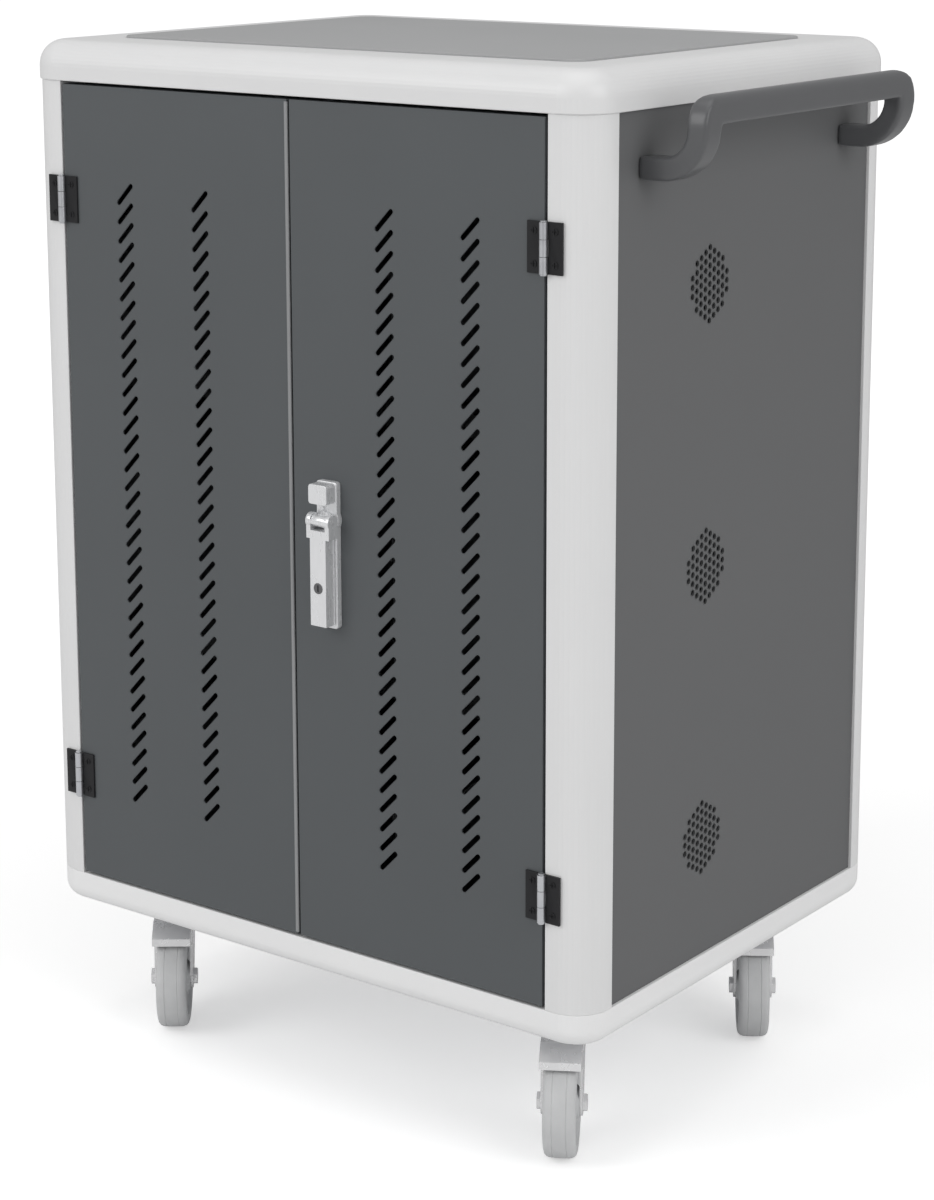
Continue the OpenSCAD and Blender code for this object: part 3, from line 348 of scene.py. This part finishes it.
# Corner posts and ceiling pan. The posts are rolled steel sections with a pale powder coat, and
# the pan ties their heads together under the moulded top.
pale_coat = surface_material("pale_coat", light=(0.80, 0.80, 0.80), dark=(0.755, 0.755, 0.76),
                             patch=7, rough=0.29, rough_spread=0.04, grain=900, depth=0.00006)
for post in ("front_left_post", "front_right_post", "rear_left_post", "rear_right_post"):
    eased_piece(post, pale_coat, ease=0.0006)
dress(zinc_plate, "top_frame")

# Moulded top. One pale moulding with a broad rolled edge and a shallow tray that holds the mat.
eased_piece("top_shell", pale_moulding, ease=0.0012)

# Mat. A sheet of mid grey rubber laid in the tray, with a fine pebbled face that keeps a laptop
# from sliding, and a soft edge.
mat_rubber = surface_material("mat_rubber", light=(0.405, 0.408, 0.412),
                              dark=(0.362, 0.365, 0.369), patch=5, rough=0.62, rough_spread=0.08,
                              grain=700, depth=0.0003, shine=0.3)
eased_piece("top_mat", mat_rubber, ease=0.0008)

# Side panels. Steel sheets with a dark slate powder coat, let in behind the posts. Each has three
# pointed clusters of round vent holes, whose rims are coined over so that no burr is left.


def repeat_in_places(name, places, sizes, draw, material, body, sharp=35):
    """Draws one small shape with Geometry Nodes and sets a copy of it in each place."""
    tree = bpy.data.node_groups.new(name + "_pattern", "GeometryNodeTree")
    ports = tree.interface
    ports.new_socket("Places", in_out="INPUT", socket_type="NodeSocketGeometry")
    ports.new_socket("Geometry", in_out="OUTPUT", socket_type="NodeSocketGeometry")
    named = {}
    for label, value in sizes.items():
        kind = "NodeSocketInt" if isinstance(value, int) else "NodeSocketFloat"
        named[label] = ports.new_socket(label, in_out="INPUT", socket_type=kind).identifier
    given = tree.nodes.new("NodeGroupInput")

    def add(kind, inputs, **settings):
        made = tree.nodes.new(kind)
        for key, value in settings.items():
            setattr(made, key, value)
        for key, value in inputs.items():
            if isinstance(value, bpy.types.NodeSocket):
                tree.links.new(value, made.inputs[key])
            else:
                made.inputs[key].default_value = value
        return made

    stamped = add("GeometryNodeInstanceOnPoints", {"Points": given.outputs["Places"],
                                                   "Instance": draw(add, given.outputs)})
    solid = add("GeometryNodeRealizeInstances", {"Geometry": stamped.outputs[0]})
    finished = add("GeometryNodeSetMaterial", {"Geometry": solid.outputs[0],
                                               "Material": material})
    add("NodeGroupOutput", {"Geometry": finished.outputs[0]})
    seeds = bpy.data.meshes.new(name + "_places")
    seeds.from_pydata([tuple(p) for p in places], [], [])
    holder = holder_of(name, seeds)
    pattern = holder.modifiers.new("pattern", "NODES")
    pattern.node_group = tree
    for label, value in sizes.items():
        pattern[named[label]] = value
    return piece_from_mesh(name, worked_mesh(holder), material, body, sharp)


slate_coat = surface_material("slate_coat", light=(0.102, 0.110, 0.116),
                              dark=(0.091, 0.098, 0.103), patch=6, rough=0.5, rough_spread=0.06,
                              grain=800, depth=0.00008, shine=0.3)
slate_side = surface_material("slate_side", light=(0.140, 0.142, 0.145),
                              dark=(0.128, 0.130, 0.133), patch=5, rough=0.55, rough_spread=0.06,
                              grain=800, depth=0.00008, shine=0.3)
vent_rings = 4
vent_pitch = 0.0081
vent_hole = 0.003
vent_ahead = 0.064
vent_rise = 0.111
rim_over = 0.0002
rim_bead = 0.0004
cart_mid = ((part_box("front_left_post")[0].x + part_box("front_right_post")[1].x) / 2,
            (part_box("front_left_post")[0].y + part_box("rear_left_post")[1].y) / 2)
deck_tops = [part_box(deck)[1].z for deck in ("lower_shelf", "middle_shelf", "upper_shelf")]


def coined_rim(add, size):
    circle = add("GeometryNodeCurvePrimitiveCircle", {"Resolution": 16,
                                                      "Radius": size["Hole radius"]})
    bead = add("GeometryNodeCurvePrimitiveCircle", {"Resolution": 5, "Radius": size["Bead"]})
    ring = add("GeometryNodeCurveToMesh", {"Curve": circle.outputs[0],
                                           "Profile Curve": bead.outputs[0]})
    stood = add("GeometryNodeTransform", {"Geometry": ring.outputs[0],
                                          "Rotation": (0, math.radians(90), 0)})
    return stood.outputs[0]


for side_name, face_end in (("left_side_panel", 0), ("right_side_panel", 1)):
    eased_piece(side_name, slate_side, ease=0.0)
    rim_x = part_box(side_name)[face_end].x
    holes = [(rim_x, cart_mid[1] - vent_ahead + vent_pitch * j * math.sqrt(3) / 2,
              top + vent_rise + vent_pitch * (i + j / 2))
             for top in deck_tops
             for i in range(-vent_rings, vent_rings + 1)
             for j in range(max(-vent_rings, -i - vent_rings),
                            min(vent_rings, vent_rings - i) + 1)
             if abs(j) < vent_rings or abs(2 * i + j) < vent_rings]
    repeat_in_places(side_name + "_vent_rims", holes,
                     {"Hole radius": vent_hole + rim_over, "Bead": rim_bead}, coined_rim,
                     slate_side, "cabinet")

# Decks, dividers and partitions. Three folded steel decks carry rows of coated dividers, which
# have a thin plastic bead over the front edge, and a partition hangs behind each row.
deck_coat = surface_material("deck_coat", light=(0.125, 0.13, 0.134), dark=(0.108, 0.113, 0.117),
                             patch=8, rough=0.5, rough_spread=0.06, grain=800, depth=0.00008)
divider_coat = surface_material("divider_coat", light=(0.31, 0.32, 0.33), dark=(0.27, 0.28, 0.29),
                                patch=9, rough=0.45, rough_spread=0.06, grain=900, depth=0.00006,
                                edge=(0.38, 0.39, 0.4))
trim_rubber = surface_material("trim_rubber", light=(0.034, 0.034, 0.035),
                               dark=(0.024, 0.024, 0.025), patch=40, rough=0.7, rough_spread=0.08,
                               grain=1200, depth=0.00008)
dress(deck_coat, "lower_shelf", "middle_shelf", "upper_shelf", "lower_partition",
      "middle_partition", "upper_partition")
dress(divider_coat, "lower_dividers", "middle_dividers", "upper_dividers")
dress(trim_rubber, "cable_edge_trims")
bays = 8
bay_pitch = 0.067
divider_bead = 0.0016
bead_share = 0.66
bead_in = 0.0004
bead_rise = 0.004


def upright_bead(add, size):
    rod = add("GeometryNodeMeshCylinder", {"Vertices": 10, "Radius": size["Bead radius"],
                                           "Depth": size["Bead height"]})
    return rod.outputs["Mesh"]


for tier in ("lower", "middle", "upper"):
    low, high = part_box(tier + "_dividers")
    bead_h = (high.z - low.z) * bead_share
    repeat_in_places(tier + "_divider_beads",
                     [(cart_mid[0] + (n - bays / 2) * bay_pitch, low.y + bead_in,
                       low.z + bead_h / 2 + bead_rise) for n in range(bays + 1)],
                     {"Bead radius": divider_bead, "Bead height": bead_h}, upright_bead,
                     trim_rubber, "cabinet")

# Power strips, controller and wiring. Each strip is a black moulding with eight outlets below, the
# controller is a coated steel box, and a slotted duct carries the leads up the rear left corner.
black_moulding = surface_material("black_moulding", light=(0.036, 0.036, 0.038),
                                  dark=(0.027, 0.027, 0.029), patch=25, rough=0.45,
                                  rough_spread=0.06, grain=1400, depth=0.00006,
                                  edge=(0.06, 0.06, 0.062))
duct_plastic = surface_material("duct_plastic", light=(0.70, 0.71, 0.72), dark=(0.65, 0.66, 0.67),
                                patch=14, rough=0.5, rough_spread=0.05, grain=1300, depth=0.00005)
controller_coat = surface_material("controller_coat", light=(0.33, 0.34, 0.35),
                                   dark=(0.29, 0.3, 0.31), patch=12, rough=0.42, rough_spread=0.06,
                                   grain=900, depth=0.00006, edge=(0.4, 0.41, 0.42))
dress(black_moulding, "lower_power_strip", "middle_power_strip", "upper_power_strip",
      "mains_inlet")
dress(duct_plastic, "wiring_duct")
dress(trim_rubber, "supply_leads")
dress(controller_coat, "charge_controller")
rocker_red = surface_material("rocker_red", light=(0.42, 0.02, 0.018), dark=(0.36, 0.015, 0.014),
                              patch=60, rough=0.3, rough_spread=0.04, grain=1500, depth=0.00004,
                              coat=0.3)
dress(rocker_red, "power_rocker")
outlet_pitch = 0.058
outlet_first = 0.047


def outlet_bezel(add, size):
    square = add("GeometryNodeCurvePrimitiveQuadrilateral", {"Width": size["Across"],
                                                             "Height": size["Across"]})
    rounded = add("GeometryNodeFilletCurve", {"Curve": square.outputs[0],
                                              "Radius": size["Corner"], "Count": 4}, mode="POLY")
    bead = add("GeometryNodeCurvePrimitiveCircle", {"Resolution": 6, "Radius": size["Bead"]})
    ring = add("GeometryNodeCurveToMesh", {"Curve": rounded.outputs[0],
                                           "Profile Curve": bead.outputs[0]})
    return ring.outputs[0]


for tier in ("lower", "middle", "upper"):
    low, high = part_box(tier + "_power_strip")
    repeat_in_places(tier + "_outlet_bezels",
                     [(low.x + outlet_first + n * outlet_pitch, (low.y + high.y) / 2, low.z)
                      for n in range(bays)],
                     {"Across": 0.032, "Corner": 0.006, "Bead": 0.0007}, outlet_bezel,
                     controller_coat, "cabinet")

# Pull handle. A moulded slate strap: two arms leave the right panel, sweep upwards and run into
# one flat grip, with every edge well rounded for the hand.
handle_slate = surface_material("handle_slate", light=(0.102, 0.104, 0.109),
                                dark=(0.088, 0.090, 0.094), patch=11, rough=0.34,
                                rough_spread=0.05, grain=1300, depth=0.00006,
                                edge=(0.17, 0.172, 0.176), coat=0.1)
handle_mesh = mesh_of("pull_handle_shape", welded_shape("pull_handle"))
handle_holder = holder_of("pull_handle", handle_mesh)
skin = handle_holder.modifiers.new("one_skin", "REMESH")
skin.mode = "VOXEL"
skin.voxel_size = 0.0016
rounding = handle_holder.modifiers.new("rounded", "SMOOTH")
rounding.factor = 0.5
rounding.iterations = 22
thinned = handle_holder.modifiers.new("thinned", "DECIMATE")
thinned.ratio = 0.45
handle = piece_from_mesh("pull_handle_finished", worked_mesh(handle_holder), handle_slate,
                         "cabinet", sharp=80)
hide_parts("pull_handle")

# Hinges. Folded steel butt hinges with a black coat, held by two countersunk screws in each leaf.
hinge_black = surface_material("hinge_black", light=(0.012, 0.012, 0.014),
                               dark=(0.008, 0.008, 0.009), patch=60, rough=0.42, rough_spread=0.08,
                               grain=1100, depth=0.00006, edge=(0.03, 0.03, 0.032), shine=0.25)
for leaves in ("frame_hinge_leaves", "left_door_leaves", "right_door_leaves", "rear_door_leaves"):
    eased_piece(leaves, hinge_black, ease=0.0004)
dress(zinc_plate, "hinge_pins")
hinge_half_h = 0.022
leaf_middle = 0.0108
leaf_t = 0.002
pin_out = 0.0015
barrel_r = 0.0035
drive_long = 0.0052
drive_wide = 0.0008
drive_deep = 0.0009
drive_rise = 0.0006


def screw_head(out_y):
    """A cross-slotted screw head that faces out_y's way."""
    def draw(add, size):
        head = add("GeometryNodeMeshCylinder", {"Vertices": 18, "Radius": size["Head radius"],
                                                "Depth": size["Head height"]})
        drive = add("GeometryNodeMeshCube", {"Size": (drive_long, drive_wide, drive_deep)})
        across = add("GeometryNodeMeshCube", {"Size": (drive_wide, drive_long, drive_deep)})
        lifted = add("GeometryNodeTransform", {"Geometry": drive.outputs[0],
                                               "Translation": (0, 0, drive_rise)})
        lifted_too = add("GeometryNodeTransform", {"Geometry": across.outputs[0],
                                                   "Translation": (0, 0, drive_rise)})
        cut = add("GeometryNodeMeshBoolean", {"Mesh 1": head.outputs["Mesh"],
                                              "Mesh 2": lifted.outputs[0]})
        cut_too = add("GeometryNodeMeshBoolean", {"Mesh 1": cut.outputs[0],
                                                  "Mesh 2": lifted_too.outputs[0]})
        faced = add("GeometryNodeTransform", {"Geometry": cut_too.outputs[0], "Rotation":
                                              (math.radians(90 if out_y < 0 else -90), 0, 0)})
        return faced.outputs[0]
    return draw


low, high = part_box("frame_hinge_leaves")
hinge_levels = (low.z + hinge_half_h, high.z - hinge_half_h)
front_leaf_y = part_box("front_left_post")[0].y - leaf_t
rear_leaf_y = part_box("rear_left_post")[1].y + leaf_t
pin_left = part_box("left_door")[0].x - pin_out
pin_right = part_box("right_door")[1].x + pin_out
screw_sizes = {"Head radius": 0.0031, "Head height": 0.0012}
screw_steps = (-0.014, 0.014)
knuckle_h = 2 * hinge_half_h / 3
sleeve_over = 0.0002
sleeve_sizes = {"Sleeve radius": barrel_r + sleeve_over,
                "Sleeve height": knuckle_h - 2 * sleeve_over}


def bare_sleeve(add, size):
    tube = add("GeometryNodeMeshCylinder", {"Vertices": 28, "Radius": size["Sleeve radius"],
                                            "Depth": size["Sleeve height"]})
    return tube.outputs["Mesh"]


for name, leaf_x, leaf_y, leaves, body in (
        ("left_door_screws", pin_left + leaf_middle, front_leaf_y, "left_door_leaves",
         "left_door"),
        ("right_door_screws", pin_right - leaf_middle, front_leaf_y, "right_door_leaves",
         "right_door"),
        ("rear_door_screws", pin_left + leaf_middle, rear_leaf_y, "rear_door_leaves",
         "rear_door")):
    repeat_in_places(name, [(leaf_x, leaf_y, level + step)
                            for level in hinge_levels
                            for step in screw_steps],
                     screw_sizes, screw_head(leaf_y), hinge_black, body)
    pin_x = pin_right if body == "right_door" else pin_left
    pin_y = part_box(leaves)[0 if body == "rear_door" else 1].y
    pin_y += barrel_r if body == "rear_door" else -barrel_r
    repeat_in_places(body + "_hinge_sleeves",
                     [(pin_x, pin_y, level) for level in hinge_levels],
                     sleeve_sizes, bare_sleeve, zinc_plate, body)
    repeat_in_places(body + "_frame_sleeves",
                     [(pin_x, pin_y, level + step)
                      for level in hinge_levels
                      for step in (-knuckle_h, knuckle_h)],
                     sleeve_sizes, bare_sleeve, zinc_plate, "cabinet")
repeat_in_places("front_frame_screws",
                 [(x, front_leaf_y, level + step)
                  for x in (pin_left - leaf_middle, pin_right + leaf_middle)
                  for level in hinge_levels for step in screw_steps],
                 screw_sizes, screw_head(front_leaf_y), hinge_black, "cabinet")
repeat_in_places("rear_frame_screws",
                 [(pin_left - leaf_middle, rear_leaf_y, level + step)
                  for level in hinge_levels for step in screw_steps],
                 screw_sizes, screw_head(rear_leaf_y), hinge_black, "cabinet")

# Doors. Folded steel pans with the slate powder coat. Two columns of slanted slots in each are
# punched out, and a fine lip is left round every slot.
eased_piece("left_door", slate_coat, ease=0.0005)
eased_piece("right_door", slate_coat, ease=0.0005)
eased_piece("rear_door", slate_coat, ease=0.0005)
slot_count = 33
slot_pitch = 0.0182
slot_first = 0.099
slot_slope = 46.0
slot_columns = {"left_door": (-0.200, -0.107), "right_door": (0.107, 0.200),
                "rear_door": (-0.107, 0.107)}
sill_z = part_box("front_left_post")[0].z


def slot_lip(add, size):
    slot = add("GeometryNodeCurvePrimitiveQuadrilateral", {"Width": size["Length"],
                                                           "Height": size["Width"]})
    ends = add("GeometryNodeFilletCurve", {"Curve": slot.outputs[0], "Radius": size["Round"],
                                           "Count": 2}, mode="POLY")
    bead = add("GeometryNodeCurvePrimitiveCircle", {"Resolution": 4, "Radius": size["Lip"]})
    lip = add("GeometryNodeCurveToMesh", {"Curve": ends.outputs[0],
                                          "Profile Curve": bead.outputs[0]})
    tilted = add("GeometryNodeTransform", {"Geometry": lip.outputs[0],
                                           "Rotation": (0, 0, math.radians(slot_slope))})
    stood = add("GeometryNodeTransform", {"Geometry": tilted.outputs[0],
                                          "Rotation": (math.radians(90), 0, 0)})
    return stood.outputs[0]


for door, columns in slot_columns.items():
    door_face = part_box(door)[1 if door == "rear_door" else 0].y
    repeat_in_places(door + "_slot_lips",
                     [(cart_mid[0] + x, door_face, sill_z + slot_first + n * slot_pitch)
                      for x in columns for n in range(slot_count)],
                     {"Length": 0.0279, "Width": 0.0054, "Round": 0.0026, "Lip": 0.0003},
                     slot_lip, slate_coat, door)

# Meeting edge. The left door carries a slim edge bead where the two doors meet, coloured pale as a painted
# highlight along the meeting edge.
bead_painted_highlight = surface_material("bead_painted_highlight", light=(0.30, 0.305, 0.31), dark=(0.26, 0.265, 0.27),
                              patch=20, rough=0.4, rough_spread=0.05, grain=900, depth=0.00005)
bead_over = 0.0008
bead_short = 0.002
edge_low, edge_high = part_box("left_door")
bead_shape = bmesh.new()
bead_section = [(-0.0038, 0.0), (-0.0030, -0.0008), (-0.0010, -0.0010), (0.0, -0.0004),
                (0.0, 0.0012), (-0.0006, 0.0012), (-0.0006, 0.0)]
ends = [[bead_shape.verts.new((edge_high.x + bead_over + x, edge_low.y + y, z))
         for x, y in bead_section]
        for z in (edge_low.z + bead_short, edge_high.z - bead_short)]
bead_shape.faces.new(ends[0][::-1])
bead_shape.faces.new(ends[1])
for n in range(len(bead_section)):
    m = (n + 1) % len(bead_section)
    bead_shape.faces.new((ends[0][n], ends[0][m], ends[1][m], ends[1][n]))
bmesh.ops.recalc_face_normals(bead_shape, faces=bead_shape.faces)
piece_from_mesh("left_door_edge_bead", mesh_of("left_door_edge_bead", bead_shape), bead_painted_highlight,
                "left_door")

# Lock. A die-cast swing handle in satin chrome: a plate on the door, a spindle bulge, the lever
# that folds flat, and the key plug low on the lever.
satin_chrome = surface_material("satin_chrome", light=(0.84, 0.845, 0.855),
                                dark=(0.74, 0.745, 0.76), patch=45, rough=0.28, rough_spread=0.08,
                                grain=500, depth=0.00004, metal=0.45, stretch=(3, 3, 0.6))
eased_piece("lock_plate", satin_chrome, ease=0.0012, halved=True)
eased_piece("swing_handle", satin_chrome, ease=0.0014, rounds=3)
eased_piece("lock_spindle", satin_chrome, ease=0.0004)
# The key plug is steel, darkened well below the chrome round it as painted shade of its key slot.
key_steel_painted_shade = surface_material("key_steel_painted_shade", light=(0.16, 0.16, 0.165), dark=(0.11, 0.11, 0.115),
                             patch=60, rough=0.38, rough_spread=0.06, grain=900, depth=0.00004,
                             metal=0.6, edge=(0.3, 0.3, 0.305))
eased_piece("key_plug", key_steel_painted_shade, ease=0.0003)
dress(zinc_plate, "upper_lock_rod", "lower_lock_rod", "left_door_bolt")
eased_piece("rear_door_lock", satin_chrome, ease=0.0006)

# Casters. Bright zinc pressings: a top plate with its bearing race, a swivelling fork, and a grey
# rubber wheel on a bolted axle. A black ring round each race is painted shade in the gap between
# the caster plate and the fork crown.
wheel_rubber = surface_material("wheel_rubber", light=(0.66, 0.665, 0.67),
                                dark=(0.55, 0.555, 0.56), patch=55, rough=0.6, rough_spread=0.08,
                                grain=600, depth=0.0002, edge=(0.62, 0.62, 0.625))
fork_zinc = surface_material("fork_zinc", light=(0.90, 0.90, 0.905), dark=(0.80, 0.80, 0.81),
                             patch=70, rough=0.26, rough_spread=0.08, grain=700, depth=0.00004,
                             metal=0.45)
dress(zinc_plate, "caster_plates", "caster_bolts")


def lathe(name, profile, centre, along, steps, material, body, sharp=35):
    """Turns a closed profile of (distance along, radius) points about an axis."""
    axis = Vector(along).normalized()
    across = axis.cross(Vector((0, 0, 1)))
    across = across.normalized() if across.length > 0.1 else Vector((1, 0, 0))
    upward = across.cross(axis)
    shape = bmesh.new()
    rows = []
    for n in range(steps):
        a = 2 * math.pi * n / steps
        out = across * math.cos(a) + upward * math.sin(a)
        rows.append([shape.verts.new(Vector(centre) + axis * t + out * r) for t, r in profile])
    for n in range(steps):
        for k in range(len(profile)):
            a, b = rows[n], rows[(n + 1) % steps]
            m = (k + 1) % len(profile)
            shape.faces.new((a[k], a[m], b[m], b[k]))
    bmesh.ops.recalc_face_normals(shape, faces=shape.faces)
    return piece_from_mesh(name, mesh_of(name, shape), material, body, sharp)


def half_profile(points):
    """A profile given for one side of the wheel, mirrored to the other side."""
    return points + [(-t, r) for t, r in reversed(points)]


wheel_steps = 72
shade_ring_steps = 48
shade_ring_profile = [(0.0008, 0.0232), (0.0008, 0.0246), (0.0030, 0.0250), (0.0070, 0.0246),
                (0.0076, 0.0232)]
wheel_rim = [(0.0162, 0.0062), (0.0162, 0.0135), (0.0150, 0.0140), (0.0108, 0.0180),
             (0.0104, 0.0340), (0.0112, 0.0375), (0.0146, 0.0384), (0.0150, 0.0396),
             (0.0150, 0.0445), (0.0143, 0.0468), (0.0126, 0.0486), (0.0100, 0.0496),
             (0.0070, 0.0499), (0.0064, 0.0494), (0.0058, 0.0499), (0.0020, 0.0500)]
joint_rows = {row["name"]: row for row in frame["joints"]}
for caster in ("front_left", "front_right", "rear_left", "rear_right"):
    eased_piece(caster + "_fork", fork_zinc, ease=0.0007)
    eased_piece(caster + "_axle", fork_zinc, ease=0.0004)
    roll = joint_rows[caster + "_roll"]
    swivel = joint_rows[caster + "_swivel"]
    wheel = lathe(caster + "_wheel_finished", half_profile(wheel_rim), roll["pos_m"],
                  roll["axis"], wheel_steps, wheel_rubber, caster + "_wheel")
    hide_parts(caster + "_wheel")
    crown_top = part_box(caster + "_fork")[1].z
    # Painted shade: a black ring that darkens the gap above the fork crown.
    lathe(caster + "_race_painted_shade", shade_ring_profile,
          (swivel["pos_m"][0], swivel["pos_m"][1], crown_top), (0, 0, 1), shade_ring_steps,
          trim_rubber, "cabinet")
